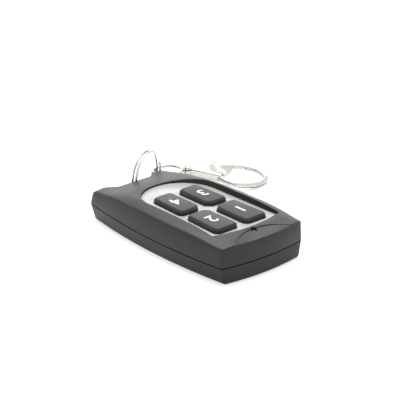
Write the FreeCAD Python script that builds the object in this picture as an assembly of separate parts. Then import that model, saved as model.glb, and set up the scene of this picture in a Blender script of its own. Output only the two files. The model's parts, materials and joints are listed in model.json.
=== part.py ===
import FreeCAD, Part
import math
import os

# Key fob remote with four buttons, a split ring and a swivel clasp. Millimetres, +Z up, table at z = 0.
# +Y is the end with the light, -Y is the end with the ring.

V = FreeCAD.Vector

# Case outline at the parting line
HALF_WIDTH = 16.6
WIDEST_Y = 3.5
SIDE_RADIUS = 185.0
LED_END_Y = 29.85
LED_END_RADIUS = 70.0
EAR_Y = -30.8
EAR_SLANT = 0.7
EAR_WIDTH = 6.9
EAR_TIP_X = HALF_WIDTH - EAR_WIDTH
NOTCH_Y = -26.85
NOTCH_SLOPE = 3.7
NOTCH_HALF = EAR_TIP_X - NOTCH_SLOPE
LED_CORNER_R = 1.15
EAR_CORNER_R = 1.6
EAR_INNER_R = 2.0
NOTCH_CORNER_R = 1.7

# Heights of the case
PARTING_Z = 5.0
PARTING_GAP = 0.3
BOTTOM_FILLET = 1.0
TOP_FILLET = 1.2
TOP_FACETS = 4
LEAN_TOP_Z = 14.0
SIDE_LEAN = 1.35
LED_SIDE_LEAN = 0.0
LED_LEAN = 0.55
RING_LEAN = 1.35
SIDE_DRAFT = 1.13
LED_DRAFT = 0.0
RING_DRAFT = 0.6

# Height of the top along Y: at the crease beside the panel, and at the outer edge
CREASE_X = 11.8
CREASE_TURN_Y = -8.0
CREASE_TURN = 0.107
TOP_SECTIONS = (
    (-34.0, 4.6, 4.35),
    (-31.2, 7.3, 6.95),
    (-30.7, 8.2, 7.8),
    (-30.2, 8.75, 8.35),
    (-29.4, 9.1, 8.7),
    (-28.2, 9.3, 8.95),
    (-26.4, 9.5, 9.25),
    (-24.0, 9.95, 9.65),
    (-21.0, 10.6, 10.15),
    (-15.0, 11.6, 10.4),
    (-8.0, 12.4, 10.6),
    (0.0, 12.7, 10.8),
    (8.0, 12.73, 10.9),
    (16.0, 12.5, 11.05),
    (21.0, 12.0, 10.9),
    (25.0, 11.45, 10.7),
    (33.0, 11.0, 10.45),
)

# Shell
WALL = 1.6
FLOOR = 1.4
ROOF = 1.1
LIP = 0.8
LIP_HEIGHT = 0.9
LIP_CLEARANCE = 0.1
CAVITY_RING_Y = -23.2

# Panel recess
PANEL_R = 12.1
PANEL_ARC_Y = -5.0
PANEL_LED_X = 12.4
PANEL_LED_Y = 21.7
PANEL_CROWN_Y = 23.2
PANEL_TOP = 10.8
PANEL_T = 0.8
PANEL_GAP = 0.1
PANEL_CORNER_R = 0.7

# Buttons
BUTTON_TOP = 12.2
BUTTON_BEVEL = 0.6
BUTTON_CORNER_R = 1.7
BUTTON_CHAMFER = 1.7
BUTTON_GAP = 0.15
BUTTON_INNER_X = 1.25
BUTTON_ROW_UPPER = (6.5, 20.2)
BUTTON_ROW_LOWER = (-9.0, 4.5)
BUTTON_OUTER_X = 8.6
BUTTON_FLARE = 0.0455
BUTTON_TRAVEL = 0.35
FLANGE = 0.6
FLANGE_T = 0.6
PLUNGER_R = 1.3

# Light end
LED_Y = 24.68
LED_HOLE_R = 0.9
MOON_R = 14.3
MOON_ARC_Y = 24.25
MOON_DEPTH = 0.3

# Inside
BOARD_Z = 5.75
BOARD_T = 0.9
SWITCH_SIZE = 6.0
CELL_R = 10.0
CELL_T = 3.2
CELL_Y = 6.0
CELL_Z = 1.75
SCREW_R = 0.9
SCREW_HEAD_R = 1.8
SCREW_X = HALF_WIDTH - 5.4
SCREW_Y = -19.0
SCREW_SPOTS = ((-SCREW_X, SCREW_Y), (SCREW_X, SCREW_Y))
POST_R = 2.3
CHIP_AT = (0.0, -16.5)
CHIP_SIZE = (5.0, 4.4, 1.0)
CAN_AT = (6.5, -15.5)
CAN_R = 1.9
CAN_H = 1.6
CRYSTAL_AT = (-6.5, -16.0)
CRYSTAL_SIZE = (2.5, 4.0, 0.9)
SPRING_R = 4.5
SPRING_BORE = 2.6
SPRING_ARM = 14.0
SPRING_HALF = 1.2
CLIP_REACH = 12.2
CLIP_HALF = 3.0
CONTACT_T = 0.25
ANTENNA_R = 0.4
ANTENNA_RISE = 0.9
ANTENNA_X = HALF_WIDTH - 5.0
ANTENNA_Y = (-14.0, 20.0)
ANTENNA_SPREAD = 0.8

# Cross bar in the notch
BAR_R = 0.65
BAR_Y = -29.75
BAR_Z = 4.6
BAR_HALF = EAR_TIP_X + 1.9
BAR_FIT = 0.05
NOTCH_UNDERCUT_Y = -25.9
NOTCH_LIP_Z = 8.1

# Split ring, standing through the notch
RING_OUTER_R = 7.8
RING_WIRE_R = 0.35
RING_PITCH = 1.15
RING_X = 2.08 - EAR_TIP_X
RING_Y = -30.52
RING_TURN = 21.5
RING_FLOOR = 0.12
RING_JOG = 50.0
RING_END_ANGLE = 160.0
RING_ARCS = 4

# Swivel clasp: middle of the collar, middle of the hook's far end, and the roll about that line
COLLAR_AT = V(RING_X - 15.0, RING_Y + 1.46, 6.3)
HOOK_END_AT = COLLAR_AT + V(-21.68, 12.06, -5.25)
CLASP_ROLL = 14.0
COLLAR_R = 1.3
COLLAR_LENGTH = 2.0
STEM_R = 0.5
STEM_FIT = 0.05
STEM_HEAD_R = 0.85
CLASP_T = 2.5
HOOK_R = 0.85
HOOK_PATH = (
    (7.6, -1.3, 0), (9.6, -2.35, 0), (12.4, -4.25, 0), (15.6, -4.9, 0), (18.9, -4.45, 0), (22.2, -2.9, 0),
    (24.6, -0.3, 0), (24.75, 1.9, 0), (23.3, 3.8, 0), (21.3, 4.65, 0), (19.3, 4.85, 0),
)
PIVOT_AT = (9.0, 2.9)
PIVOT_R = 0.45
PIVOT_FIT = 0.05
GATE_R = 0.65
GATE_GAP = 0.3
SLOT_T = 1.4
WEB_T = 1.2
TAB_R = 1.75
TAB_AT = (9.0, 4.3)
EYE_R = 0.62
EYE_HALF_WIDTH = 2.45
EYE_LEG_Z = 6.2
BLOCK_POINTS = (
    (0.6, -1.15), (0.6, 1.15), (7.4, 3.3), (10.2, 4.0), (10.9, 3.3), (10.9, -0.6), (9.8, -3.0), (8.2, -2.7),
)
WEB_POINTS = (
    (7.6, 1.6), (7.6, 3.6), (9.0, 4.6), (14.2, 4.3), (14.3, 2.0), (13.3, 0.3), (10.8, -0.9), (9.9, 0.9),
)
GATE_PATH = ((10.6, 4.05, 0), (13.0, 4.35, 0), (16.0, 4.65, 0))


# Where the side meets the end with the light
LED_CORNER_Y = LED_END_Y - HALF_WIDTH ** 2 / (2.0 * LED_END_RADIUS)


def line(a, b):
    return Part.makeLine(a, b)


def arc(a, m, b):
    return Part.Arc(a, m, b).toShape()


def side_x(y, inset):
    return HALF_WIDTH - inset - (y - WIDEST_Y) ** 2 / (2.0 * SIDE_RADIUS)


def led_y(x, inset):
    return LED_END_Y - inset - x * x / (2.0 * LED_END_RADIUS)


def outline_wire(z, side_in, led_side_in, led_in, ring_in):
    corner_y = led_y(side_x(LED_CORNER_Y, led_side_in), led_in)
    cx = side_x(corner_y, led_side_in)
    tip = EAR_Y + ring_in
    ear = tip - EAR_SLANT
    ex = side_x(ear, side_in)
    notch = NOTCH_Y + 0.35 * ring_in
    mid_y = 0.5 * (corner_y + ear)
    pts = {
        "led_r": V(cx, corner_y, z), "led_l": V(-cx, corner_y, z), "crown": V(0, led_y(0, led_in), z),
        "ear_r": V(ex, ear, z), "ear_l": V(-ex, ear, z),
        "tip_r": V(EAR_TIP_X, tip, z), "tip_l": V(-EAR_TIP_X, tip, z),
        "not_r": V(NOTCH_HALF, notch, z), "not_l": V(-NOTCH_HALF, notch, z),
    }
    edges = [
        arc(pts["led_r"], pts["crown"], pts["led_l"]),
        arc(pts["led_l"], V(-side_x(mid_y, side_in), mid_y, z), pts["ear_l"]),
        line(pts["ear_l"], pts["tip_l"]),
        line(pts["tip_l"], pts["not_l"]),
        line(pts["not_l"], pts["not_r"]),
        line(pts["not_r"], pts["tip_r"]),
        line(pts["tip_r"], pts["ear_r"]),
        arc(pts["ear_r"], V(side_x(mid_y, side_in), mid_y, z), pts["led_r"]),
    ]
    return Part.Wire(edges)


def corner_edges(solid, x, y, reach):
    found = []
    for edge in solid.Edges:
        a = edge.Vertexes[0].Point
        b = edge.Vertexes[-1].Point
        if abs(a.z - b.z) < 1.0:
            continue
        m = (a + b) * 0.5
        if abs(abs(m.x) - x) < reach and abs(m.y - y) < reach:
            found.append(edge)
    return found


def tapered(z0, ins0, z1, ins1):
    low = outline_wire(z0, *ins0)
    high = outline_wire(z1, *ins1)
    solid = Part.makeLoft([low, high], True, True)
    spots = (
        (side_x(LED_CORNER_Y, 0), LED_CORNER_Y, LED_CORNER_R),
        (side_x(EAR_Y, 0), EAR_Y - EAR_SLANT, EAR_CORNER_R),
        (EAR_TIP_X, EAR_Y, EAR_INNER_R),
        (NOTCH_HALF, NOTCH_Y, NOTCH_CORNER_R),
    )
    for x, y, r in spots:
        edges = corner_edges(solid, x, y, 1.6)
        solid = solid.makeFillet(r, edges)
    return solid


def edges_at_z(solid, z, tol=0.02):
    found = []
    for edge in solid.Edges:
        box = edge.BoundBox
        if abs(box.ZMin - z) < tol and abs(box.ZMax - z) < tol:
            found.append(edge)
    return found


def prism(points, z0, z1):
    wire = Part.makePolygon([V(x, y, z0) for x, y in points] + [V(points[0][0], points[0][1], z0)])
    return Part.Face(wire).extrude(V(0, 0, z1 - z0))


def box(x0, x1, y0, y1, z0, z1):
    return Part.makeBox(x1 - x0, y1 - y0, z1 - z0, V(x0, y0, z0))


def cyl(x, y, z0, z1, r):
    return Part.makeCylinder(r, z1 - z0, V(x, y, z0))


def cavity(z0, z1, inset):
    half = HALF_WIDTH - inset
    left = -side_x(CAVITY_RING_Y, inset)
    corner_y = led_y(15.0, inset)
    cx = side_x(corner_y, inset)
    a = V(cx, corner_y, z0)
    b = V(-cx, corner_y, z0)
    c = V(left, CAVITY_RING_Y, z0)
    d = V(-left, CAVITY_RING_Y, z0)
    edges = [
        arc(a, V(0, led_y(0, inset), z0), b),
        arc(b, V(-half, WIDEST_Y, z0), c),
        line(c, d),
        arc(d, V(half, WIDEST_Y, z0), a),
    ]
    solid = Part.Face(Part.Wire(edges)).extrude(V(0, 0, z1 - z0))
    return solid


def wall_x(y, z):
    rise = (z - UPPER_LOW) / (LEAN_TOP_Z - UPPER_LOW)
    mid = 0.5 * (LED_CORNER_Y + EAR_Y)
    share = (y - mid) * (y - EAR_Y) / ((LED_CORNER_Y - mid) * (LED_CORNER_Y - EAR_Y))
    return side_x(y, (SIDE_LEAN + (LED_SIDE_LEAN - SIDE_LEAN) * share) * rise)


def crease_x(y):
    return CREASE_X - CREASE_TURN * max(0.0, CREASE_TURN_Y - y)


def top_section(y, crease, edge):
    cx = crease_x(y)
    slope = (crease - edge) / (side_x(y, 0) - cx)
    xw = wall_x(y, edge) + 0.03
    lean = math.atan(slope)
    mid_x = xw - TOP_FILLET
    mid_z = crease - slope * (mid_x - cx) - TOP_FILLET / math.cos(lean)
    half = [(cx, crease)]
    for i in range(TOP_FACETS + 1):
        a = math.pi / 2 - lean - (math.pi / 2 - lean) * i / TOP_FACETS
        half.append((mid_x + TOP_FILLET * math.cos(a), mid_z + TOP_FILLET * math.sin(a)))
    half.append((20.0, mid_z - 1.0))
    half.append((20.0, -8.0))
    ring = [(x, z) for x, z in reversed(half)] + [(-x, z) for x, z in half]
    pts = [V(x, y, z) for x, z in ring]
    return Part.makePolygon(pts + [pts[0]])


def top_block():
    wires = [top_section(y, crease, edge) for y, crease, edge in TOP_SECTIONS]
    return Part.makeLoft(wires, True, False)


def panel_prism(z0, z1, grow):
    r = PANEL_R + grow
    x = PANEL_LED_X + grow
    y = PANEL_LED_Y + grow
    crown = PANEL_CROWN_Y + grow
    a = V(r, PANEL_ARC_Y, z0)
    b = V(-r, PANEL_ARC_Y, z0)
    edges = [
        arc(b, V(0, PANEL_ARC_Y - r, z0), a),
        line(a, V(x, y, z0)),
        arc(V(x, y, z0), V(0, crown, z0), V(-x, y, z0)),
        line(V(-x, y, z0), b),
    ]
    solid = Part.Face(Part.Wire(edges)).extrude(V(0, 0, z1 - z0))
    corners = corner_edges_near(solid, x, y)
    return solid.makeFillet(PANEL_CORNER_R, corners)


def corner_edges_near(solid, x, y):
    found = []
    for edge in solid.Edges:
        a = edge.Vertexes[0].Point
        b = edge.Vertexes[-1].Point
        if abs(a.z - b.z) > 0.3 and abs(abs(a.x) - x) < 0.05 and abs(a.y - y) < 0.05:
            found.append(edge)
    return found


def outer_x(y):
    return BUTTON_OUTER_X + BUTTON_FLARE * y


def button_prism(side, row, z0, z1, grow):
    low, high = row
    inner = BUTTON_INNER_X - grow
    facing_up = row is BUTTON_ROW_LOWER
    y0 = low - grow
    y1 = high + grow
    x0 = outer_x(low) + grow
    x1 = outer_x(high) + grow
    cut = BUTTON_CHAMFER
    if facing_up:
        pts = [(inner, y0), (x0, y0), (x1, y1), (inner + cut, y1), (inner, y1 - cut)]
        sharp = ((inner + cut, y1), (inner, y1 - cut))
    else:
        pts = [(inner, y0 + cut), (inner + cut, y0), (x0, y0), (x1, y1), (inner, y1)]
        sharp = ((inner, y0 + cut), (inner + cut, y0))
    pts = [(side * x, y) for x, y in pts]
    solid = prism(pts, z0, z1)
    for x, y in pts:
        keen = any(abs(side * sx - x) < 0.01 and abs(sy - y) < 0.01 for sx, sy in sharp)
        r = 0.7 if keen else BUTTON_CORNER_R + grow
        edges = []
        for edge in solid.Edges:
            p = edge.Vertexes[0].Point
            q = edge.Vertexes[-1].Point
            if abs(p.z - q.z) > 0.1 and abs(p.x - x) < 0.02 and abs(p.y - y) < 0.02:
                edges.append(edge)
        solid = solid.makeFillet(r, edges)
    return solid


def button_middle(side, row):
    y = 0.5 * (row[0] + row[1])
    return side * 0.5 * (BUTTON_INNER_X + outer_x(y)), y


BUTTONS = (
    ("button_1", -1, BUTTON_ROW_UPPER),
    ("button_2", 1, BUTTON_ROW_UPPER),
    ("button_3", -1, BUTTON_ROW_LOWER),
    ("button_4", 1, BUTTON_ROW_LOWER),
)

LOWER_TOP = PARTING_Z - PARTING_GAP / 2.0
UPPER_LOW = PARTING_Z + PARTING_GAP / 2.0
PANEL_SEAT = PANEL_TOP - PANEL_T
ROOF_LOW = PANEL_SEAT - ROOF
BOARD_TOP = BOARD_Z + BOARD_T
FLANGE_TOP = ROOF_LOW
PLUNGER_LOW = FLANGE_TOP - FLANGE_T - 0.7
SWITCH_TOP = PLUNGER_LOW - BUTTON_TRAVEL - 0.05


def bar_cut():
    return Part.makeCylinder(BAR_R + BAR_FIT, 2 * (BAR_HALF + BAR_FIT), V(-BAR_HALF - BAR_FIT, BAR_Y, BAR_Z), V(1, 0, 0))


def notch_undercut():
    return box(-NOTCH_HALF + 0.3, NOTCH_HALF - 0.3, NOTCH_Y - 4.0, NOTCH_UNDERCUT_Y, -1.0, NOTCH_LIP_Z)


def lower_case():
    body = tapered(0.0, (SIDE_DRAFT, SIDE_DRAFT, LED_DRAFT, RING_DRAFT), LOWER_TOP, (0, 0, 0, 0))
    body = body.makeFillet(BOTTOM_FILLET, edges_at_z(body, 0.0))
    body = body.cut(cavity(FLOOR, 20.0, WALL))
    lip = cavity(FLOOR, UPPER_LOW + LIP_HEIGHT, WALL - 0.15)
    lip = lip.cut(cavity(FLOOR - 1.0, 20.0, WALL + LIP))
    outer = cavity(LOWER_TOP - 0.6, 20.0, WALL - 0.15).cut(cavity(0.0, 20.0, WALL + LIP_CLEARANCE))
    lip = lip.cut(outer)
    for x, y in SCREW_SPOTS:
        lip = lip.cut(cyl(x, y, PARTING_Z - 0.1, 20.0, POST_R + LIP_CLEARANCE))
    body = body.fuse(lip)
    body = body.cut(bar_cut())
    body = body.cut(notch_undercut())
    for x, y in SCREW_SPOTS:
        post = cyl(x, y, FLOOR - 0.2, PARTING_Z, POST_R)
        body = body.fuse(post)
        body = body.cut(cyl(x, y, -1, 20, SCREW_R + 0.15))
        body = body.cut(cyl(x, y, -1, 1.3, SCREW_HEAD_R + 0.15))
    return body.removeSplitter()


def upper_case():
    body = tapered(UPPER_LOW, (0, 0, 0, 0), LEAN_TOP_Z, (SIDE_LEAN, LED_SIDE_LEAN, LED_LEAN, RING_LEAN))
    body = body.common(top_block())
    body = body.cut(cavity(UPPER_LOW - 1.0, ROOF_LOW, WALL))
    body = body.cut(panel_prism(PANEL_SEAT, 20.0, 0.0))
    for name, side, row in BUTTONS:
        body = body.cut(button_prism(side, row, 2.0, 20.0, BUTTON_GAP))
    body = body.cut(cyl(0, LED_Y, 2.0, 20.0, LED_HOLE_R))
    moon = cyl(0, MOON_ARC_Y + MOON_R, 9.0, 16.0, MOON_R)
    slope_low = top_height(MOON_ARC_Y) - MOON_DEPTH
    slope_far = top_height(29.5) - MOON_DEPTH - 0.15
    pts = [V(-20, MOON_ARC_Y, slope_low), V(-20, 32, slope_far - 0.1), V(-20, 32, 16), V(-20, MOON_ARC_Y, 16)]
    wedge = Part.Face(Part.makePolygon(pts + [pts[0]])).extrude(V(40, 0, 0))
    body = body.cut(moon.common(wedge))
    body = body.cut(bar_cut())
    body = body.cut(notch_undercut())
    for x, y in SCREW_SPOTS:
        post = cyl(x, y, PARTING_Z, top_height(y) - 1.2, POST_R)
        body = body.fuse(post.common(top_block()))
        body = body.cut(cyl(x, y, PARTING_Z - 1, PARTING_Z + 3.6, SCREW_R))
    return body.removeSplitter()


def top_height(y):
    rows = TOP_SECTIONS
    for (y0, c0, e0), (y1, c1, e1) in zip(rows, rows[1:]):
        if y <= y1:
            return c0 + (c1 - c0) * (y - y0) / (y1 - y0)
    return rows[-1][1]


def panel():
    plate = panel_prism(PANEL_SEAT, PANEL_TOP, -PANEL_GAP)
    for name, side, row in BUTTONS:
        plate = plate.cut(button_prism(side, row, 2.0, 20.0, BUTTON_GAP))
    return plate


def button(side, row):
    cap = button_prism(side, row, FLANGE_TOP - FLANGE_T, BUTTON_TOP, 0.0)
    cap = cap.makeChamfer(BUTTON_BEVEL, edges_at_z(cap, BUTTON_TOP))
    flange = button_prism(side, row, FLANGE_TOP - FLANGE_T, FLANGE_TOP, FLANGE)
    x, y = button_middle(side, row)
    plunger = cyl(x, y, PLUNGER_LOW, FLANGE_TOP, PLUNGER_R)
    return cap.fuse([flange, plunger]).removeSplitter()


def board():
    plate = cavity(BOARD_Z, BOARD_TOP, WALL + LIP + 0.35)
    trim = box(-30, 30, -40, CAVITY_RING_Y + 0.4, 0, 20)
    plate = plate.cut(trim)
    for x, y in SCREW_SPOTS:
        plate = plate.cut(cyl(x, y, 0, 20, POST_R + 0.3))
    return plate


def switch(side, row):
    x, y = button_middle(side, row)
    h = SWITCH_SIZE / 2.0
    body = box(x - h, x + h, y - h, y + h, BOARD_TOP, SWITCH_TOP - 0.2)
    stud = cyl(x, y, BOARD_TOP, SWITCH_TOP, 1.6)
    return body.fuse(stud).removeSplitter()


def led():
    body = cyl(0, LED_Y, BOARD_TOP, 10.2, LED_HOLE_R - 0.1)
    foot = cyl(0, LED_Y, BOARD_TOP, BOARD_TOP + 1.2, 1.4)
    dome = Part.makeSphere(LED_HOLE_R - 0.1, V(0, LED_Y, 10.2))
    return body.fuse([foot, dome]).removeSplitter()


def cell():
    body = cyl(0, CELL_Y, CELL_Z, CELL_Z + CELL_T, CELL_R)
    return body.makeChamfer(0.25, [e for e in body.Edges if len(e.Vertexes) == 1])


def cell_spring():
    ring = cyl(0, CELL_Y, FLOOR, CELL_Z, SPRING_R).cut(cyl(0, CELL_Y, 0, 9, SPRING_BORE))
    w = SPRING_HALF
    end = CELL_Y - SPRING_ARM
    arm = box(-w, w, end, CELL_Y - SPRING_R + 1.1, FLOOR, FLOOR + CONTACT_T)
    riser = box(-w, w, end, end + 0.3, FLOOR, BOARD_Z)
    return ring.fuse([arm, riser]).removeSplitter()


def cell_clip():
    w = CLIP_HALF
    z = CELL_Z + CELL_T
    top = box(-w, w, CELL_Y - CLIP_REACH, CELL_Y + CLIP_REACH, z, z + CONTACT_T)
    ends = []
    for y in (CELL_Y - CLIP_REACH, CELL_Y + CLIP_REACH - 0.3):
        ends.append(box(-w, w, y, y + 0.3, z, BOARD_Z))
    return top.fuse(ends).removeSplitter()


def chip(x, y, w, l, h):
    body = box(x - w / 2, x + w / 2, y - l / 2, y + l / 2, BOARD_TOP, BOARD_TOP + h)
    top = [e for e in body.Edges if e.BoundBox.ZMin > BOARD_TOP + h - 0.01]
    return body.makeChamfer(0.15, top)


def can(x, y, r, h):
    body = cyl(x, y, BOARD_TOP, BOARD_TOP + h, r)
    base = cyl(x, y, BOARD_TOP, BOARD_TOP + 0.3, r + 0.4)
    return body.fuse(base).removeSplitter()


def antenna():
    z = BOARD_TOP + ANTENNA_RISE
    r = ANTENNA_R
    near = -ANTENNA_X
    far = -ANTENNA_X - ANTENNA_SPREAD
    y0, y1 = ANTENNA_Y
    foot = BOARD_TOP + 0.02
    pts = [V(near, y0, foot), V(near, y0, z), V(far, y1, z), V(far, y1, foot)]
    tubes = []
    for a, b in zip(pts, pts[1:]):
        tubes.append(Part.makeCylinder(r, (b - a).Length, a, b - a))
    joints = [Part.makeSphere(r, pts[1]), Part.makeSphere(r, pts[2])]
    return tubes[0].fuse(tubes[1:] + joints).removeSplitter()


def screws():
    solids = []
    for x, y in SCREW_SPOTS:
        head = cyl(x, y, 0.25, 1.3, SCREW_HEAD_R)
        shank = cyl(x, y, 1.2, PARTING_Z + 3.2, SCREW_R)
        slot1 = box(x - 1.1, x + 1.1, y - 0.22, y + 0.22, 0.0, 0.75)
        slot2 = box(x - 0.22, x + 0.22, y - 1.1, y + 1.1, 0.0, 0.75)
        solids.append(head.fuse(shank).cut(slot1.fuse(slot2)).removeSplitter())
    return Part.makeCompound(solids)


def bar():
    body = Part.makeCylinder(BAR_R, 2 * BAR_HALF, V(-BAR_HALF, BAR_Y, BAR_Z), V(1, 0, 0))
    return body.makeChamfer(0.15, [e for e in body.Edges if len(e.Vertexes) == 1])


def ring_frame():
    turn = math.radians(RING_TURN)
    across = V(math.cos(turn), math.sin(turn), 0)
    normal = V(-math.sin(turn), math.cos(turn), 0)
    mid = V(RING_X, RING_Y, RING_OUTER_R + RING_FLOOR)
    return mid, across, V(0, 0, 1), normal


def split_ring():
    mid, across, up, normal = ring_frame()
    r = RING_OUTER_R - RING_WIRE_R
    half = RING_PITCH / 2.0
    one_side = 360.0 - RING_JOG
    spots = [(one_side * i / RING_ARCS, half) for i in range(RING_ARCS + 1)]
    spots += [(360.0 + one_side * i / RING_ARCS, -half) for i in range(RING_ARCS + 1)]
    places = []
    tangents = []
    for a, offset in spots:
        t = math.radians(RING_END_ANGLE + a)
        places.append(mid + across * (r * math.cos(t)) + up * (r * math.sin(t)) + normal * offset)
        tangents.append(up * math.cos(t) - across * math.sin(t))
    print_ring_gap(places, tangents)
    return tube_through(places, tangents, RING_WIRE_R)


def print_ring_gap(places, tangents):
    samples = []
    for i in range(len(places) - 1):
        for edge in biarc(places[i], tangents[i], places[i + 1], tangents[i + 1]):
            samples += edge.discretize(13)
    turn = len(samples) // 4
    gap = RING_OUTER_R
    for i, p in enumerate(samples):
        for q in samples[i + turn:]:
            gap = min(gap, (q - p).Length)
    print("split ring least gap to itself %.3f mm" % (gap - 2 * RING_WIRE_R))


def clasp_frame():
    u = (HOOK_END_AT - COLLAR_AT).normalize()
    flat = V(-u.y, u.x, 0).normalize()
    lift = u.cross(flat)
    roll = math.radians(CLASP_ROLL)
    v = flat * math.cos(roll) + lift * math.sin(roll)
    w = u.cross(v)
    return u, v, w


def placed(shape):
    u, v, w = clasp_frame()
    m = FreeCAD.Matrix(u.x, v.x, w.x, COLLAR_AT.x, u.y, v.y, w.y, COLLAR_AT.y, u.z, v.z, w.z, COLLAR_AT.z, 0, 0, 0, 1)
    copy = shape.copy()
    copy.Placement = FreeCAD.Placement(m).multiply(copy.Placement)
    return copy


def unit(v):
    return v * (1.0 / v.Length)


def arc_from(a, t, b):
    chord = b - a
    c = unit(chord)
    away = t - c * t.dot(c)
    if away.Length < 1e-4:
        return line(a, b)
    half_turn = 0.5 * math.acos(max(-1.0, min(1.0, t.dot(c))))
    middle = (a + b) * 0.5 + unit(away) * (0.5 * chord.Length * math.tan(half_turn))
    return arc(a, middle, b)


def biarc(a, ta, b, tb):
    chord = b - a
    t = ta + tb
    bend = 2.0 * (1.0 - ta.dot(tb))
    along = chord.dot(t)
    if bend < 1e-6:
        d = chord.dot(chord) / (2.0 * along)
    else:
        d = (math.sqrt(along * along + bend * chord.dot(chord)) - along) / bend
    joint = (a + b + (ta - tb) * d) * 0.5
    turn_at_joint = unit(joint - a - ta * d)
    return [arc_from(a, ta, joint), arc_from(joint, turn_at_joint, b)]


def tube_through(points, tangents, r):
    edges = []
    for i in range(len(points) - 1):
        edges += biarc(points[i], tangents[i], points[i + 1], tangents[i + 1])
    circle = Part.Wire([Part.makeCircle(r, points[0], tangents[0])])
    return Part.Wire(edges).makePipeShell([circle], True, False)


def tube_along(points, r, closed=False):
    pts = [V(*p) for p in points]
    if closed:
        pts.append(pts[0])
    last = len(pts) - 1
    tangents = []
    for i in range(len(pts)):
        before = pts[i - 1] if i > 0 else (pts[-2] if closed else pts[0])
        after = pts[i + 1] if i < last else (pts[1] if closed else pts[-1])
        tangents.append(unit(after - before))
    return tube_through(pts, tangents, r)


def clasp_body():
    half = CLASP_T / 2.0
    block = prism(BLOCK_POINTS, -half, half)
    block = block.makeFillet(0.45, [e for e in block.Edges])
    collar = Part.makeCylinder(COLLAR_R, COLLAR_LENGTH, V(-COLLAR_LENGTH / 2, 0, 0), V(1, 0, 0))
    collar = collar.makeFillet(0.3, [e for e in collar.Edges if len(e.Vertexes) == 1])
    hook = tube_along(HOOK_PATH, HOOK_R)
    tip = Part.makeSphere(HOOK_R, V(HOOK_PATH[0][0], HOOK_PATH[0][1], 0))
    body = block.fuse([collar, hook, tip])
    slot = box(6.4, 16.0, 0.2, 9.0, -SLOT_T / 2, SLOT_T / 2)
    slot = slot.fuse(box(9.0, 16.0, -1.6, 9.0, -SLOT_T / 2, SLOT_T / 2))
    slot = slot.cut(box(15.0, 30.0, -9, 9, -3, 3))
    body = body.cut(slot)
    body = body.cut(cyl(PIVOT_AT[0], PIVOT_AT[1], -5, 5, PIVOT_R))
    bore = Part.makeCylinder(STEM_R + STEM_FIT, 4.0, V(-2.0, 0, 0), V(1, 0, 0))
    pocket = Part.makeCylinder(STEM_HEAD_R + STEM_FIT, 1.2, V(1.3, 0, 0), V(1, 0, 0))
    body = body.cut(bore.fuse(pocket))
    return placed(body.removeSplitter())


def trigger():
    half = WEB_T / 2.0
    end_u = HOOK_PATH[-1][0] - GATE_GAP
    end_v = HOOK_PATH[-1][1]
    web = prism(WEB_POINTS, -half, half)
    web = web.makeFillet(0.2, [e for e in web.Edges if abs(e.Vertexes[0].Point.z - e.Vertexes[-1].Point.z) > 0.1])
    rod = tube_along(GATE_PATH + ((end_u, end_v, 0),), GATE_R)
    tab = cyl(TAB_AT[0], TAB_AT[1], -half, half, TAB_R)
    body = web.fuse([rod, tab])
    body = body.cut(cyl(PIVOT_AT[0], PIVOT_AT[1], -5, 5, PIVOT_R + PIVOT_FIT))
    return placed(body.removeSplitter())


def pivot_pin():
    return placed(cyl(PIVOT_AT[0], PIVOT_AT[1], -CLASP_T / 2, CLASP_T / 2, PIVOT_R))


def eye_frame():
    u, v, w = clasp_frame()
    mid, across, up, normal = ring_frame()
    leg = mid - across * (RING_OUTER_R - RING_WIRE_R)
    leg = V(leg.x, leg.y, EYE_LEG_Z)
    out = (leg - COLLAR_AT).normalize()
    side = v - out * v.dot(out)
    side = side.normalize()
    return leg, out, side


def swivel_eye():
    u, v, w = clasp_frame()
    leg, out, side = eye_frame()
    start = COLLAR_AT - u * (COLLAR_LENGTH / 2 + 0.15)
    reach = (leg - start).dot(out) + 0.5 * RING_PITCH + RING_WIRE_R + EYE_R + 0.25
    base = start - u * 0.8
    hw = EYE_HALF_WIDTH
    pts = []
    shape_pts = ((0.0, 0.0), (0.10, 0.62), (0.32, 0.98), (0.58, 1.0), (0.82, 0.80), (0.96, 0.38), (1.0, 0.0))
    ring_pts = list(shape_pts) + [(a, -b) for a, b in reversed(shape_pts[1:-1])]
    for a, b in ring_pts:
        pts.append(base + out * (a * (reach - 0.8)) + side * (b * hw))
    loop = tube_along(pts, EYE_R, closed=True)
    stem = Part.makeCylinder(STEM_R, 3.6, base, u)
    head = Part.makeCylinder(STEM_HEAD_R, 0.9, COLLAR_AT + u * 1.45, u)
    boss = Part.makeCylinder(0.95, 0.85, COLLAR_AT - u * (COLLAR_LENGTH / 2 + 0.12), u * -1)
    return loop.fuse([stem, head, boss]).removeSplitter()


def export(name, shape):
    if shape.ShapeType == "Compound" and len(shape.Solids) == 1:
        shape = shape.Solids[0]
    bb = shape.BoundBox
    print("%-14s solids %d valid %s vol %.2f box %.2f..%.2f %.2f..%.2f %.2f..%.2f" % (
        name, len(shape.Solids), shape.isValid(), shape.Volume, bb.XMin, bb.XMax, bb.YMin, bb.YMax, bb.ZMin, bb.ZMax))
    shape.exportStep("parts/%s.step" % name)


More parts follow.
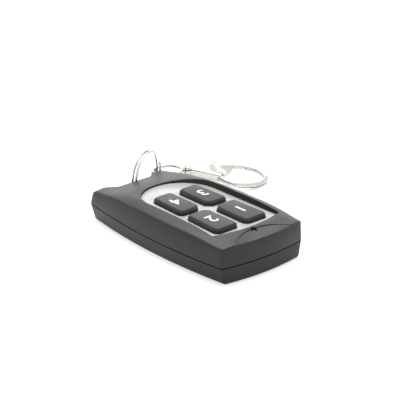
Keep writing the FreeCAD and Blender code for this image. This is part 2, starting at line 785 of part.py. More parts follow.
def main():
    os.makedirs("parts", exist_ok=True)
    export("lower_case", lower_case())
    export("upper_case", upper_case())
    export("panel", panel())
    for name, side, row in BUTTONS:
        export(name, button(side, row))
        export(name.replace("button", "switch"), switch(side, row))
    export("circuit_board", board())
    export("led", led())
    export("coin_cell", cell())
    export("cell_spring", cell_spring())
    export("cell_clip", cell_clip())
    export("controller_chip", chip(*CHIP_AT, *CHIP_SIZE))
    export("resonator_can", can(*CAN_AT, CAN_R, CAN_H))
    export("crystal", chip(*CRYSTAL_AT, *CRYSTAL_SIZE))
    export("antenna_loop", antenna())
    export("case_screws", screws())
    export("cross_bar", bar())
    export("split_ring", split_ring())
    export("swivel_eye", swivel_eye())
    export("clasp_body", clasp_body())
    export("trigger", trigger())
    export("pivot_pin", pivot_pin())


main()
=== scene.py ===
"""Key fob remote with four push buttons, a split ring and a swivel clasp, dressed over its CAD frame."""

import json
import math

import bmesh
import bpy
from mathutils import Matrix, Vector


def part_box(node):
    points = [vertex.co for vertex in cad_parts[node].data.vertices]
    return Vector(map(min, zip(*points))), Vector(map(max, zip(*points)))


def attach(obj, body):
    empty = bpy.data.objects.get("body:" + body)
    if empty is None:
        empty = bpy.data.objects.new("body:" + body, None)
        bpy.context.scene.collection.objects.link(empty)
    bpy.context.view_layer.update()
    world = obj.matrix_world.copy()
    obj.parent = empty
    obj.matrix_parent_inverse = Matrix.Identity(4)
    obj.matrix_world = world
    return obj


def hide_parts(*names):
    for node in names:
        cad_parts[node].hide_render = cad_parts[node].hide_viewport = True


bl_info = {
    "name": "Key fob remote",
    "version": (1, 0, 0),
    "blender": (4, 5, 0),
    "location": "3D View > Sidebar > Key fob",
    "description": "Dresses the key fob: case, panel, buttons, numerals, ring, clasp, inner parts and stage",
    "category": "Object",
}

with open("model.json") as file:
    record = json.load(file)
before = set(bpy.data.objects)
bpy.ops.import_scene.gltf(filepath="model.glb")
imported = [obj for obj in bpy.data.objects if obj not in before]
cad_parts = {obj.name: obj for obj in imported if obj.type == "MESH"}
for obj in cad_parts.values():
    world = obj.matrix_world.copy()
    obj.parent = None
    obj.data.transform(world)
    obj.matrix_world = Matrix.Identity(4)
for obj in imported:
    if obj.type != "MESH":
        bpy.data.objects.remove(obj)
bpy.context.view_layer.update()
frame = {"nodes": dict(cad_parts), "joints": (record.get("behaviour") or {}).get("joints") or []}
JOINTS = {joint["name"]: joint for joint in frame["joints"]}
KEYS = tuple((str(i), "button_%d" % i, "key_%d" % i) for i in range(1, 5))
MADE = {}

# Meshes: lengths in metres, angles in degrees
JOIN = 0.000002
FLAT = 0.6
METAL_FLAT = 0.5
EDGE_ROUNDS = 2
PANEL_EDGE = 0.00008
CAST_EDGE = 0.00006
FASTENER_EDGE = 0.00005
PIN_EDGE = 0.00004
MOULDED_ANGLE = 32.0
METAL_ANGLE = 40.0
MOULDED_SMOOTH = 35.0
CASE_SMOOTH = 30.0
KEY_SMOOTH = 24.0
RING_SMOOTH = 50.0
RING_STEPS = 360
WIRE_SIDES = 20

# Feet of the controller, in metres
FEET_A_SIDE = 4
FEET_PITCH = 0.00105
FOOT_REACH, FOOT_WIDE, FOOT_THICK = 0.0006, 0.0004, 0.00016
FOOT_LIFT = 0.00001

# Stage: the floor lies just under the case, whose underside is at zero
FLOOR_HALF = 3.0
FLOOR_Z = -0.00002
FLOOR_GLOW = 0.6
FLOOR_MIRRORED = 0.6
LAMP_WATTS = 10.0
KEY_AT, KEY_WIDE = (-0.2, -0.3, 0.95), 0.9
FILL_AT, FILL_WIDE = (-0.7, -0.8, 0.25), 0.7
CAMERA_AT = (0.29894, 0.34421, 0.20564)
CAMERA_RIGHT = (-0.7528, 0.6583, 0.0)
CAMERA_BACK = (0.6059, 0.6929, 0.3909)
SENSOR_MM = 36.0
LENS_MM = 158.36

# Colour sockets of a Mix node, whose names repeat
MIX_LOW, MIX_HIGH, MIX_RESULT = 6, 7, 2


# Arithmetic on node sockets

def plug(tree, socket, value):
    """Links a socket or sets a plain value."""
    if isinstance(value, Value):
        tree.links.new(value.socket, socket)
    else:
        socket.default_value = value


class Value:
    """A node socket that takes part in plain Python arithmetic."""

    def __init__(self, tree, socket):
        self.tree = tree
        self.socket = socket

    def math(self, operation, *operands, clamp=False):
        node = self.tree.nodes.new("ShaderNodeMath")
        node.operation = operation
        node.use_clamp = clamp
        for socket, operand in zip(node.inputs, operands):
            plug(self.tree, socket, operand)
        return Value(self.tree, node.outputs[0])

    def __add__(self, other):
        return self.math("ADD", self, other)

    def __radd__(self, other):
        return self.math("ADD", other, self)

    def __sub__(self, other):
        return self.math("SUBTRACT", self, other)

    def __rsub__(self, other):
        return self.math("SUBTRACT", other, self)

    def __mul__(self, other):
        return self.math("MULTIPLY", self, other)

    def __rmul__(self, other):
        return self.math("MULTIPLY", other, self)

    def __truediv__(self, other):
        return self.math("DIVIDE", self, other)

    def clamped(self):
        return self.math("ADD", self, 0.0, clamp=True)

    def sine(self):
        return self.math("SINE", self)

    def cosine(self):
        return self.math("COSINE", self)

    def eased(self):
        """Zero to one with a soft start and end."""
        flat = self.clamped()
        return flat * flat * (3.0 - 2.0 * flat)

    def above(self, limit):
        return self.math("GREATER_THAN", self, limit)


class Tree:
    """Adds nodes to a shader or geometry tree."""

    def __init__(self, tree):
        self.tree = tree

    def node(self, kind, settings=None, inputs=None, output=0):
        """One node by type, with its settings made first, then its inputs."""
        node = self.tree.nodes.new(kind)
        for name, value in (settings or {}).items():
            setattr(node, name, value)
        for name, value in (inputs or {}).items():
            plug(self.tree, node.inputs[name], value)
        return Value(self.tree, node.outputs[output])

    def joined(self, x, y, z):
        return self.node("ShaderNodeCombineXYZ", inputs={"X": x, "Y": y, "Z": z})


class Finish(Tree):
    """A material in the making, on the piece's own Object coordinates."""

    def __init__(self, name, colour, roughness, metallic=0.0, **sockets):
        self.material = bpy.data.materials.new(name)
        self.material.use_nodes = True
        self.material.diffuse_color = (*colour, 1.0)
        super().__init__(self.material.node_tree)
        self.shader = self.tree.nodes["Principled BSDF"]
        self.place = self.node("ShaderNodeTexCoord", output="Object")
        self.set("Base Color", (*colour, 1.0))
        self.set("Roughness", roughness)
        self.set("Metallic", metallic)
        for name, value in sockets.items():
            self.set(name.replace("_", " ").title().replace("Ior", "IOR"), value)

    def set(self, socket, value):
        plug(self.tree, self.shader.inputs[socket], value)

    def noise(self, scale, detail=3.0, rough=0.55, place=None):
        return self.node("ShaderNodeTexNoise", inputs={
            "Vector": place or self.place, "Scale": scale, "Detail": detail, "Roughness": rough})

    def cells(self, scale):
        return self.node("ShaderNodeTexVoronoi", inputs={"Vector": self.place, "Scale": scale})

    def stretched(self, x, y, z):
        return self.node("ShaderNodeMapping", inputs={"Vector": self.place, "Scale": (x, y, z)})

    def crevice(self, reach):
        """Mask for painted shade: one deep in a corner or under a neighbour, zero in the open."""
        open_sky = self.node(
            "ShaderNodeAmbientOcclusion", settings={"samples": 8}, inputs={"Distance": reach}, output="AO")
        return (1.0 - open_sky).clamped()

    def blend(self, mask, low, high):
        """A colour between two, by a mask."""
        return self.node("ShaderNodeMix", settings={"data_type": "RGBA"}, output=MIX_RESULT, inputs={
            "Factor": mask, MIX_LOW: (*low, 1.0), MIX_HIGH: (*high, 1.0)})

    def bump(self, height, depth, strength):
        """Relief of a depth in metres."""
        self.set("Normal", self.node("ShaderNodeBump", inputs={
            "Strength": strength, "Distance": depth, "Height": height}))


def shade(colour, factor):
    return tuple(min(1.0, c * factor) for c in colour)


# Finishes of this object

def moulded_plastic(name, colour, roughness, grain=4200.0):
    """Satin moulded plastic with a fine spark grain, faint flow marks and rubbed patches."""
    f = Finish(name, colour, roughness, ior=1.5, specular_ior_level=0.42)
    grains = f.noise(grain, 2.0, 0.6)
    flow = f.noise(90.0, 3.0, 0.6, place=f.stretched(1.0, 0.35, 1.0))
    rubbed = f.noise(240.0, 4.0, 0.65)
    patches = (flow * 0.6 + rubbed * 0.4).clamped()
    f.set("Base Color", f.blend(patches, shade(colour, 0.88), shade(colour, 1.14)))
    f.set("Roughness", (rubbed - 0.5) * 0.12 + (grains - 0.5) * 0.06 + roughness)
    f.bump(grains, 0.00001, 0.7)
    return f.material


def panel_plastic(colour):
    """Off-white gloss plate with a faint ripple and fine scuffs."""
    f = Finish("Panel gloss", colour, 0.24, ior=1.49)
    ripple = f.noise(160.0, 2.0)
    scuffs = f.noise(900.0, 2.0, 0.7, place=f.stretched(1.0, 9.0, 1.0))
    f.set("Base Color", f.blend(ripple, shade(colour, 0.97), shade(colour, 1.02)))
    f.set("Roughness", (scuffs - 0.5).clamped() * 0.5 + 0.22)
    f.bump(ripple + scuffs * 0.08, 0.00001, 0.5)
    return f.material


def print_ink(colour):
    """White printed ink, slightly uneven."""
    f = Finish("Numeral ink", colour, 0.42)
    patch = f.noise(2600.0, 3.0)
    f.set("Base Color", f.blend(patch, shade(colour, 0.95), colour))
    f.set("Roughness", patch * 0.15 + 0.34)
    f.bump(patch, 0.000004, 0.5)
    return f.material


def bright_nickel(name, colour, roughness=0.13):
    """Nickel plate over a cast or drawn blank: soft waves, hairlines, faint tarnish, and painted shade
    darkening the colour in crevices and under neighbours.
    """
    f = Finish(name, colour, roughness, metallic=1.0)
    waves = f.noise(420.0, 2.0)
    pits = f.cells(2600.0)
    hairs = f.noise(2400.0, 2.0, 0.8, place=f.stretched(1.0, 0.08, 1.0))
    tarnish = f.noise(700.0, 4.0, 0.6)
    # Painted shade: the colour goes dark brown in crevices, at joints and near the floor, mixed with random
    # tarnish patches.
    tarnish_and_painted_shade = (((tarnish - 0.5) * 1.8).clamped() * 0.45 + f.crevice(0.0018) * 1.5).clamped()
    f.set("Base Color", f.blend(tarnish_and_painted_shade, colour, (0.13, 0.105, 0.085)))
    f.set("Roughness", (tarnish - 0.5).clamped() * 0.35 + (hairs - 0.5).clamped() * 0.2 + roughness)
    f.bump(waves + pits * 0.06, 0.00006, 0.5)
    return f.material


def dark_metal():
    """Blackened steel pin."""
    f = Finish("Blackened steel", (0.035, 0.035, 0.037), 0.38, metallic=0.6)
    drawn = f.noise(3000.0, 2.0, 0.7, place=f.stretched(0.05, 1.0, 1.0))
    f.set("Roughness", drawn * 0.2 + 0.3)
    f.bump(drawn, 0.000006, 0.5)
    return f.material


def plated_steel(name, colour, roughness=0.3):
    """Tinned or zinc plated sheet with brushed lines."""
    f = Finish(name, colour, roughness, metallic=1.0)
    lines = f.noise(2600.0, 3.0, 0.75, place=f.stretched(1.0, 0.06, 1.0))
    bloom = f.noise(500.0, 3.0)
    f.set("Base Color", f.blend(bloom, shade(colour, 0.88), shade(colour, 1.05)))
    f.set("Roughness", lines * 0.22 + roughness - 0.08)
    f.bump(lines, 0.000006, 0.6)
    return f.material


def copper_wire():
    f = Finish("Bare copper", (0.78, 0.36, 0.19), 0.28, metallic=1.0)
    drawn = f.noise(2200.0, 2.0, place=f.stretched(1.0, 0.08, 1.0))
    tarnish_and_painted_shade = f.noise(600.0, 4.0)
    f.set("Base Color", f.blend(tarnish_and_painted_shade, (0.72, 0.33, 0.18), (0.5, 0.24, 0.14)))
    f.set("Roughness", drawn * 0.2 + 0.2)
    f.bump(drawn, 0.000005, 0.5)
    return f.material


def board_laminate():
    """Green solder mask with copper tracks and vias showing through."""
    f = Finish("Board laminate", (0.02, 0.12, 0.05), 0.3)
    tracks = f.node("ShaderNodeTexBrick", settings={"offset": 0.37}, inputs={
        "Vector": f.place, "Scale": 420.0, "Mortar Size": 0.045, "Brick Width": 1.7, "Row Height": 0.55,
        "Color1": (0, 0, 0, 1), "Color2": (0, 0, 0, 1), "Mortar": (1, 1, 1, 1)})
    vias = 1.0 - f.cells(520.0).above(0.09)
    copper = (tracks * 0.8 + vias).clamped()
    weave = f.noise(1500.0, 2.0)
    f.set("Base Color", f.blend(copper, (0.018, 0.11, 0.045), (0.06, 0.26, 0.09)))
    f.set("Roughness", weave * 0.12 + 0.24)
    f.bump(copper + weave * 0.1, 0.00003, 0.6)
    return f.material


def chip_plastic():
    f = Finish("Chip moulding", (0.02, 0.02, 0.022), 0.55)
    grit = f.noise(5000.0, 3.0, 0.7)
    f.set("Base Color", f.blend(grit, (0.014, 0.014, 0.015), (0.034, 0.034, 0.036)))
    f.bump(grit, 0.00001, 0.7)
    return f.material


def lens_red():
    """Deep red epoxy of an unlit indicator."""
    f = Finish("Indicator lens", (0.09, 0.006, 0.006), 0.14, ior=1.53)
    cloud = f.noise(900.0, 2.0)
    f.set("Base Color", f.blend(cloud, (0.05, 0.004, 0.004), (0.12, 0.01, 0.008)))
    f.bump(cloud, 0.00001, 0.3)
    return f.material


# Meshes

def keep(obj, body, material, slot, *nodes):
    """Gives a finished piece its material and lets it ride, standing for its CAD nodes."""
    obj.data.materials.clear()
    obj.data.materials.append(material)
    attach(obj, body)
    if nodes:
        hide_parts(*nodes)
    return obj


def new_object(name, mesh):
    obj = bpy.data.objects.new(name, mesh)
    bpy.context.scene.collection.objects.link(obj)
    return obj


def smooth_by_angle(mesh, degrees):
    """Smooth shading with sharp edges past an angle."""
    bm = bmesh.new()
    bm.from_mesh(mesh)
    limit = math.radians(degrees)
    for face in bm.faces:
        face.smooth = True
    for edge in bm.edges:
        edge.smooth = len(edge.link_faces) == 2 and edge.calc_face_angle(0.0) < limit
    bm.to_mesh(mesh)
    bm.free()


def merged_copy(node, name, flat=FLAT):
    """A CAD node's mesh as one closed skin, with flat areas as single faces unless flat is zero."""
    mesh = frame["nodes"][node].data.copy()
    mesh.name = name
    bm = bmesh.new()
    bm.from_mesh(mesh)
    bmesh.ops.remove_doubles(bm, verts=bm.verts, dist=JOIN)
    bmesh.ops.dissolve_degenerate(bm, edges=bm.edges, dist=JOIN)
    if flat:
        bmesh.ops.dissolve_limit(bm, angle_limit=math.radians(flat), verts=bm.verts, edges=bm.edges)
    bm.to_mesh(mesh)
    bm.free()
    mesh.materials.clear()
    return new_object(name, mesh)


def baked(obj, name=None):
    """The evaluated mesh as a plain one, with no modifiers left. Text gives a new object of that name."""
    depsgraph = bpy.context.evaluated_depsgraph_get()
    mesh = bpy.data.meshes.new_from_object(obj.evaluated_get(depsgraph))
    obj.modifiers.clear()
    if obj.type == "MESH":
        obj.data = mesh
        return obj
    plain = new_object(name, mesh)
    bpy.data.objects.remove(obj)
    return plain


def soften(obj, width, degrees=MOULDED_ANGLE, smooth=MOULDED_SMOOTH):
    """Rounds the sharp edges a little, as moulding and casting do."""
    bevel = obj.modifiers.new("Edge", "BEVEL")
    bevel.width = width
    bevel.segments = EDGE_ROUNDS
    bevel.limit_method = "ANGLE"
    bevel.angle_limit = math.radians(degrees)
    bevel.use_clamp_overlap = True
    baked(obj)
    smooth_by_angle(obj.data, smooth)
    return obj


class Recipe(Tree):
    """A Geometry Nodes tree with named inputs that ends in Realize Instances and Set Material."""

    def __init__(self, name, sizes):
        """Takes the inputs as label: (kind, value)."""
        super().__init__(bpy.data.node_groups.new(name, "GeometryNodeTree"))
        self.sizes = sizes
        face = self.tree.interface
        face.new_socket("Geometry", in_out="OUTPUT", socket_type="NodeSocketGeometry")
        for label, (kind, value) in sizes.items():
            socket = face.new_socket(label, in_out="INPUT", socket_type="NodeSocket" + kind)
            socket.default_value = value
        self.entry = self.tree.nodes.new("NodeGroupInput")

    def given(self, label):
        return Value(self.tree, self.entry.outputs[label])

    def close(self, geometry, material, smooth=True):
        """Ends the tree."""
        shaded = self.node("GeometryNodeSetShadeSmooth", inputs={
            "Geometry": geometry, "Shade Smooth": smooth})
        real = self.node("GeometryNodeRealizeInstances", inputs={"Geometry": shaded})
        painted = self.node("GeometryNodeSetMaterial", inputs={"Geometry": real, "Material": material})
        leave = self.tree.nodes.new("NodeGroupOutput")
        plug(self.tree, leave.inputs["Geometry"], painted)

    def build(self, name):
        """Runs the tree once and returns its result as a plain mesh object."""
        obj = new_object(name, bpy.data.meshes.new(name))
        modifier = obj.modifiers.new("Recipe", "NODES")
        modifier.node_group = self.tree
        for item in self.tree.interface.items_tree:
            if item.in_out == "INPUT":
                modifier[item.identifier] = self.sizes[item.name][1]
        return baked(obj)


# Sizes and colours a user would change

class FobCase(bpy.types.PropertyGroup):
    edge: bpy.props.FloatProperty(
        name="Edge", description="Rounding of the case's sharp edges",
        default=0.00012, unit="LENGTH", precision=5)
    colour: bpy.props.FloatVectorProperty(
        name="Case colour", description="Colour of the case halves",
        default=(0.017, 0.017, 0.018), size=3, subtype="COLOR")
    panel_colour: bpy.props.FloatVectorProperty(
        name="Panel colour", description="Colour of the face plate",
        default=(0.66, 0.66, 0.65), size=3, subtype="COLOR")


class FobKeys(bpy.types.PropertyGroup):
    edge: bpy.props.FloatProperty(
        name="Edge", description="Rounding of the buttons' edges",
        default=0.00005, unit="LENGTH", precision=5)
    colour: bpy.props.FloatVectorProperty(
        name="Button colour", description="Colour of the buttons",
        default=(0.021, 0.021, 0.022), size=3, subtype="COLOR")
    ink: bpy.props.FloatVectorProperty(
        name="Ink", description="Colour of the numerals", default=(0.9, 0.9, 0.9), size=3, subtype="COLOR")
    height: bpy.props.FloatProperty(
        name="Numeral height", description="Height of a numeral", default=0.0041, unit="LENGTH", precision=4)
    stroke: bpy.props.FloatProperty(
        name="Bolder by", description="How much the strokes are thickened",
        default=0.00011, unit="LENGTH", precision=5)
    relief: bpy.props.FloatProperty(
        name="Ink thickness", description="Thickness of the print",
        default=0.00004, unit="LENGTH", precision=5)


class FobRing(bpy.types.PropertyGroup):
    radius: bpy.props.FloatProperty(
        name="Radius", description="Middle of the wire", default=0.00745, unit="LENGTH", precision=5)
    wire: bpy.props.FloatProperty(
        name="Wire radius", description="Half the wire's thickness",
        default=0.00035, unit="LENGTH", precision=5)
    pitch: bpy.props.FloatProperty(
        name="Pitch", description="From one turn to the next", default=0.00115, unit="LENGTH", precision=5)
    jog: bpy.props.FloatProperty(
        name="Jog", description="Angle in which the wire crosses over",
        default=math.radians(50.0), subtype="ANGLE")
    end: bpy.props.FloatProperty(
        name="End", description="Angle of the wire's first end", default=math.radians(160.0), subtype="ANGLE")
    colour: bpy.props.FloatVectorProperty(
        name="Metal", description="Colour of the nickel",
        default=(0.70, 0.675, 0.635), size=3, subtype="COLOR")


class FobStage(bpy.types.PropertyGroup):
    key: bpy.props.FloatProperty(
        name="Key light", description="Power of the large lamp", default=1.0, min=0.0)
    fill: bpy.props.FloatProperty(
        name="Fill light", description="Power of the low lamp behind", default=0.11, min=0.0)
    surround: bpy.props.FloatProperty(
        name="Surround", description="Level of the world's light on the object", default=0.45, min=0.0)


def nickel():
    if "nickel" not in MADE:
        MADE["nickel"] = bright_nickel("Bright nickel", tuple(bpy.context.scene.fob_ring.colour))
    return MADE["nickel"]


# Pieces

class FOB_OT_case(bpy.types.Operator):
    """Case halves with softened edges and a satin grain."""
    bl_idname = "fob.case"
    bl_label = "Case halves"

    def execute(self, context):
        sizes = context.scene.fob_case
        plastic = moulded_plastic("Satin shell", tuple(sizes.colour), 0.4)
        for node in ("lower_case", "upper_case"):
            shell = soften(merged_copy(node, node + "_shell"), sizes.edge, smooth=CASE_SMOOTH)
            keep(shell, "case", plastic, "case_plastic", node)
        return {"FINISHED"}


class FOB_OT_panel(bpy.types.Operator):
    """Pale face plate round the buttons."""
    bl_idname = "fob.panel"
    bl_label = "Face plate"

    def execute(self, context):
        plate = soften(merged_copy("panel", "face_plate"), PANEL_EDGE)
        finish = panel_plastic(tuple(context.scene.fob_case.panel_colour))
        keep(plate, "case", finish, "panel_plastic", "panel")
        return {"FINISHED"}


class FOB_OT_buttons(bpy.types.Operator):
    """Four bevelled buttons."""
    bl_idname = "fob.buttons"
    bl_label = "Buttons"

    def execute(self, context):
        sizes = context.scene.fob_keys
        plastic = moulded_plastic("Button plastic", tuple(sizes.colour), 0.38, grain=3600.0)
        for _, node, body in KEYS:
            cap = soften(merged_copy(node, node + "_cap"), sizes.edge, smooth=KEY_SMOOTH)
            keep(cap, body, plastic, "button_plastic", node)
        return {"FINISHED"}


class FOB_OT_numerals(bpy.types.Operator):
    """A printed numeral on each button."""
    bl_idname = "fob.numerals"
    bl_label = "Numerals"

    def execute(self, context):
        sizes = context.scene.fob_keys
        ink = print_ink(tuple(sizes.ink))
        for numeral, node, body in KEYS:
            low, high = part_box(node)
            text = bpy.data.curves.new("numeral_" + numeral, "FONT")
            text.body = numeral
            text.size = 1.0
            letter = new_object("numeral_" + numeral, text)
            bpy.context.view_layer.update()
            text.size = (sizes.height - 2.0 * sizes.stroke) / letter.dimensions.y
            text.offset = sizes.stroke
            text.extrude = sizes.relief / 2.0
            letter = baked(letter, "numeral_" + numeral + "_print")
            corners = [v.co for v in letter.data.vertices]
            middle = Vector([(min(axis) + max(axis)) / 2 for axis in zip(*corners)])
            spot = Vector(((low.x + high.x) / 2, (low.y + high.y) / 2, high.z + sizes.relief / 2.0))
            letter.data.transform(Matrix.Translation(spot - middle))
            keep(letter, body, ink, "button_plastic")
        return {"FINISHED"}


class FOB_OT_indicator(bpy.types.Operator):
    """Unlit indicator under its hole."""
    bl_idname = "fob.indicator"
    bl_label = "Indicator"

    def execute(self, context):
        lens = merged_copy("led", "indicator_lens", flat=0.0)
        smooth_by_angle(lens.data, MOULDED_SMOOTH)
        keep(lens, "case", lens_red(), "lens_plastic", "led")
        return {"FINISHED"}


class FOB_OT_ring(bpy.types.Operator):
    """Split ring: one wire in two turns that crosses over once."""
    bl_idname = "fob.ring"
    bl_label = "Split ring"

    def execute(self, context):
        sizes = context.scene.fob_ring
        joint = JOINTS["ring_turn"]
        normal = Vector(joint["axis"])
        turn = math.atan2(-normal.x, normal.y)
        r = Recipe("Split ring", {
            "Radius": ("Float", sizes.radius), "Wire radius": ("Float", sizes.wire),
            "Pitch": ("Float", sizes.pitch), "Jog": ("Float", sizes.jog), "End": ("Float", sizes.end),
            "Turn": ("Float", turn), "Middle": ("Vector", joint["pos_m"])})
        path = r.node("GeometryNodeCurvePrimitiveLine")
        path = r.node("GeometryNodeResampleCurve", inputs={"Curve": path, "Count": RING_STEPS + 1})
        jog = r.given("Jog")
        along = r.node("GeometryNodeInputIndex") / float(RING_STEPS) * (4.0 * math.pi - jog)
        crossed = ((along - (2.0 * math.pi - jog)) / jog).eased()
        angle = along + r.given("End")
        side = r.given("Pitch") * (0.5 - crossed)
        spot = r.joined(angle.cosine() * r.given("Radius"), side, angle.sine() * r.given("Radius"))
        path = r.node("GeometryNodeSetPosition", inputs={"Geometry": path, "Position": spot})
        section = r.node("GeometryNodeCurvePrimitiveCircle", inputs={
            "Resolution": WIRE_SIDES, "Radius": r.given("Wire radius")})
        wire = r.node("GeometryNodeCurveToMesh", inputs={
            "Curve": path, "Profile Curve": section, "Fill Caps": True})
        placed = r.node("GeometryNodeTransform", inputs={
            "Geometry": wire, "Translation": r.given("Middle"),
            "Rotation": r.joined(0.0, 0.0, r.given("Turn"))})
        r.close(placed, nickel())
        ring = r.build("split_ring_wire")
        smooth_by_angle(ring.data, RING_SMOOTH)
        keep(ring, "ring", nickel(), "nickel", "split_ring")
        return {"FINISHED"}


class FOB_OT_clasp(bpy.types.Operator):
    """Swivel eye, clasp body, trigger and pivot."""
    bl_idname = "fob.clasp"
    bl_label = "Clasp"

    def execute(self, context):
        for node, body, edge in (
                ("swivel_eye", "eye", 0.0), ("clasp_body", "clasp", CAST_EDGE),
                ("trigger", "clasp_trigger", CAST_EDGE), ("pivot_pin", "clasp", PIN_EDGE)):
            piece = merged_copy(node, node + "_metal", flat=METAL_FLAT if edge else 0.0)
            if edge:
                soften(piece, edge, METAL_ANGLE, METAL_ANGLE)
            else:
                smooth_by_angle(piece.data, METAL_ANGLE)
            keep(piece, body, nickel(), "nickel", node)
        return {"FINISHED"}


class FOB_OT_fasteners(bpy.types.Operator):
    """Cross bar and case screws."""
    bl_idname = "fob.fasteners"
    bl_label = "Bar and screws"

    def execute(self, context):
        bar = soften(merged_copy("cross_bar", "cross_bar_pin"), FASTENER_EDGE, METAL_ANGLE)
        keep(bar, "case", dark_metal(), "dark_pin", "cross_bar")
        screws = soften(merged_copy("case_screws", "case_screws_steel"), FASTENER_EDGE, METAL_ANGLE)
        keep(screws, "case", plated_steel("Zinc plate", (0.5, 0.5, 0.49)), "screw_steel", "case_screws")
        return {"FINISHED"}


class FOB_OT_inside(bpy.types.Operator):
    """Finishes for the CAD shapes of the board, cell, contacts, switches and chips, and the chip's feet."""
    bl_idname = "fob.inside"
    bl_label = "Inner parts"

    def execute(self, context):
        tin = plated_steel("Tinned contact", (0.7, 0.69, 0.66))
        looks = {
            "circuit_board": board_laminate(),
            "coin_cell": plated_steel("Cell can", (0.66, 0.66, 0.65), 0.26),
            "cell_spring": tin, "cell_clip": tin, "resonator_can": tin, "crystal": tin,
            "controller_chip": chip_plastic(), "antenna_loop": copper_wire()}
        switch = moulded_plastic("Switch plastic", (0.03, 0.03, 0.03), 0.5)
        for i in range(1, 5):
            looks["switch_%d" % i] = switch
        for node, finish in looks.items():
            mesh = frame["nodes"][node].data
            mesh.materials.clear()
            mesh.materials.append(finish)
        self.legs(tin)
        return {"FINISHED"}

    def legs(self, tin):
        """Feet in two rows beside the controller, as straight boxes repeated by nodes."""
        low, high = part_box("controller_chip")
        first_y = (low.y + high.y) / 2 - FEET_PITCH * (FEET_A_SIDE - 1) / 2
        r = Recipe("Chip feet", {
            "Pitch": ("Float", FEET_PITCH), "Count": ("Int", FEET_A_SIDE),
            "Foot": ("Vector", (FOOT_REACH, FOOT_WIDE, FOOT_THICK)),
            "First": ("Vector", (low.x - FOOT_REACH / 2, first_y, low.z + FOOT_THICK / 2 + FOOT_LIFT)),
            "Apart": ("Float", high.x - low.x + FOOT_REACH)})
        row = r.node("GeometryNodeMeshLine", inputs={
            "Count": r.given("Count"), "Offset": r.joined(0.0, r.given("Pitch"), 0.0)})
        foot = r.node("GeometryNodeMeshCube", inputs={"Size": r.given("Foot")})
        near = r.node("GeometryNodeInstanceOnPoints", inputs={"Points": row, "Instance": foot})
        far = r.node("GeometryNodeTransform", inputs={
            "Geometry": near, "Translation": r.joined(r.given("Apart"), 0.0, 0.0)})
        both = r.tree.nodes.new("GeometryNodeJoinGeometry")
        for side in (near, far):
            r.tree.links.new(side.socket, both.inputs[0])
        placed = r.node("GeometryNodeTransform", inputs={
            "Geometry": Value(r.tree, both.outputs[0]), "Translation": r.given("First")})
        r.close(placed, tin, smooth=False)
        keep(r.build("controller_feet"), "case", tin, "contact_steel")


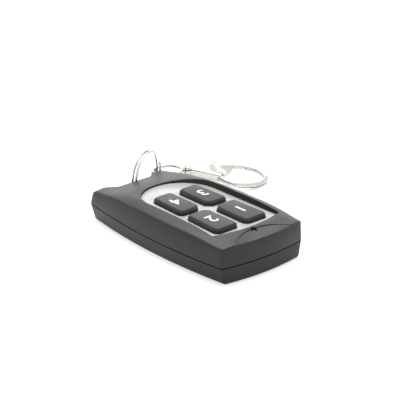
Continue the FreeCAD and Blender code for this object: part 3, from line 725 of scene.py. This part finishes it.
class FOB_OT_stage(bpy.types.Operator):
    """White floor and surround, two soft lamps and the camera."""
    bl_idname = "fob.stage"
    bl_label = "Stage"

    def execute(self, context):
        sizes = context.scene.fob_stage
        self.floor()
        self.surround(sizes.surround)
        self.lamp("Key lamp", KEY_AT, KEY_WIDE, sizes.key * LAMP_WATTS)
        self.lamp("Fill lamp", FILL_AT, FILL_WIDE, sizes.fill * LAMP_WATTS)
        self.camera()
        context.scene.view_settings.view_transform = "Standard"
        return {"FINISHED"}

    def seen(self, tree, mirrored=1.0):
        """One for camera rays, and a share for mirror and glass rays."""
        camera, glossy, through = (
            Tree(tree).node("ShaderNodeLightPath", output="Is %s Ray" % kind)
            for kind in ("Camera", "Glossy", "Transmission"))
        return (camera + (glossy + through) * mirrored).clamped()

    def floor(self):
        mesh = bpy.data.meshes.new("floor")
        h = FLOOR_HALF
        corners = [(x, y, FLOOR_Z) for x, y in ((-h, -h), (h, -h), (h, h), (-h, h))]
        mesh.from_pydata(corners, [], [(0, 1, 2, 3)])
        floor = new_object("floor", mesh)
        material = bpy.data.materials.new("Floor white")
        material.use_nodes = True
        tree = material.node_tree
        shader = tree.nodes["Principled BSDF"]
        shader.inputs["Base Color"].default_value = (0.8, 0.8, 0.8, 1)
        shader.inputs["Roughness"].default_value = 0.9
        shader.inputs["Specular IOR Level"].default_value = 0.0
        shader.inputs["Emission Color"].default_value = (1, 1, 1, 1)
        plug(tree, shader.inputs["Emission Strength"], self.seen(tree, FLOOR_MIRRORED) * FLOOR_GLOW)
        mesh.materials.append(material)

    def surround(self, level):
        world = bpy.data.worlds.new("Surround")
        bpy.context.scene.world = world
        world.use_nodes = True
        tree = world.node_tree
        back = tree.nodes["Background"]
        back.inputs["Color"].default_value = (1, 1, 1, 1)
        plug(tree, back.inputs["Strength"], self.seen(tree) * (1.0 - level) + level)

    def lamp(self, name, place, size, power):
        light = bpy.data.lights.new(name, "AREA")
        light.shape = "SQUARE"
        light.size = size
        light.energy = power
        lamp = new_object(name, light)
        lamp.location = place
        lamp.rotation_mode = "QUATERNION"
        lamp.rotation_quaternion = (-Vector(place)).to_track_quat("-Z", "Y")

    def camera(self):
        data = bpy.data.cameras.new("Camera")
        data.sensor_width = SENSOR_MM
        data.lens = LENS_MM
        data.clip_start = 0.01
        data.clip_end = 20.0
        camera = new_object("Camera", data)
        right = Vector(CAMERA_RIGHT).normalized()
        back = Vector(CAMERA_BACK).normalized()
        up = back.cross(right)
        turn = Matrix((right, up, back)).transposed().to_4x4()
        camera.matrix_world = Matrix.Translation(CAMERA_AT) @ turn
        bpy.context.scene.camera = camera


class FOB_PT_sidebar(bpy.types.Panel):
    """Lists the pieces and their sizes."""
    bl_idname = "FOB_PT_sidebar"
    bl_label = "Key fob"
    bl_space_type = "VIEW_3D"
    bl_region_type = "UI"
    bl_category = "Key fob"

    def draw(self, context):
        for operator in OPERATORS:
            self.layout.operator(operator.bl_idname)
        for group in ("fob_case", "fob_keys", "fob_ring", "fob_stage"):
            settings = getattr(context.scene, group)
            for name in settings.bl_rna.properties.keys():
                if name not in ("rna_type", "name"):
                    self.layout.prop(settings, name)


GROUPS = {"fob_case": FobCase, "fob_keys": FobKeys, "fob_ring": FobRing, "fob_stage": FobStage}
OPERATORS = (
    FOB_OT_case, FOB_OT_panel, FOB_OT_buttons, FOB_OT_numerals, FOB_OT_indicator, FOB_OT_ring, FOB_OT_clasp,
    FOB_OT_fasteners, FOB_OT_inside, FOB_OT_stage)


def register():
    for name, group in GROUPS.items():
        bpy.utils.register_class(group)
        setattr(bpy.types.Scene, name, bpy.props.PointerProperty(type=group))
    for operator in OPERATORS:
        bpy.utils.register_class(operator)
    bpy.utils.register_class(FOB_PT_sidebar)


def unregister():
    bpy.utils.unregister_class(FOB_PT_sidebar)
    for operator in reversed(OPERATORS):
        bpy.utils.unregister_class(operator)
    for name, group in GROUPS.items():
        delattr(bpy.types.Scene, name)
        bpy.utils.unregister_class(group)


def main():
    register()
    for operator in OPERATORS:
        family, call = operator.bl_idname.split(".")
        getattr(getattr(bpy.ops, family), call)()


if __name__ == "__main__":
    main()
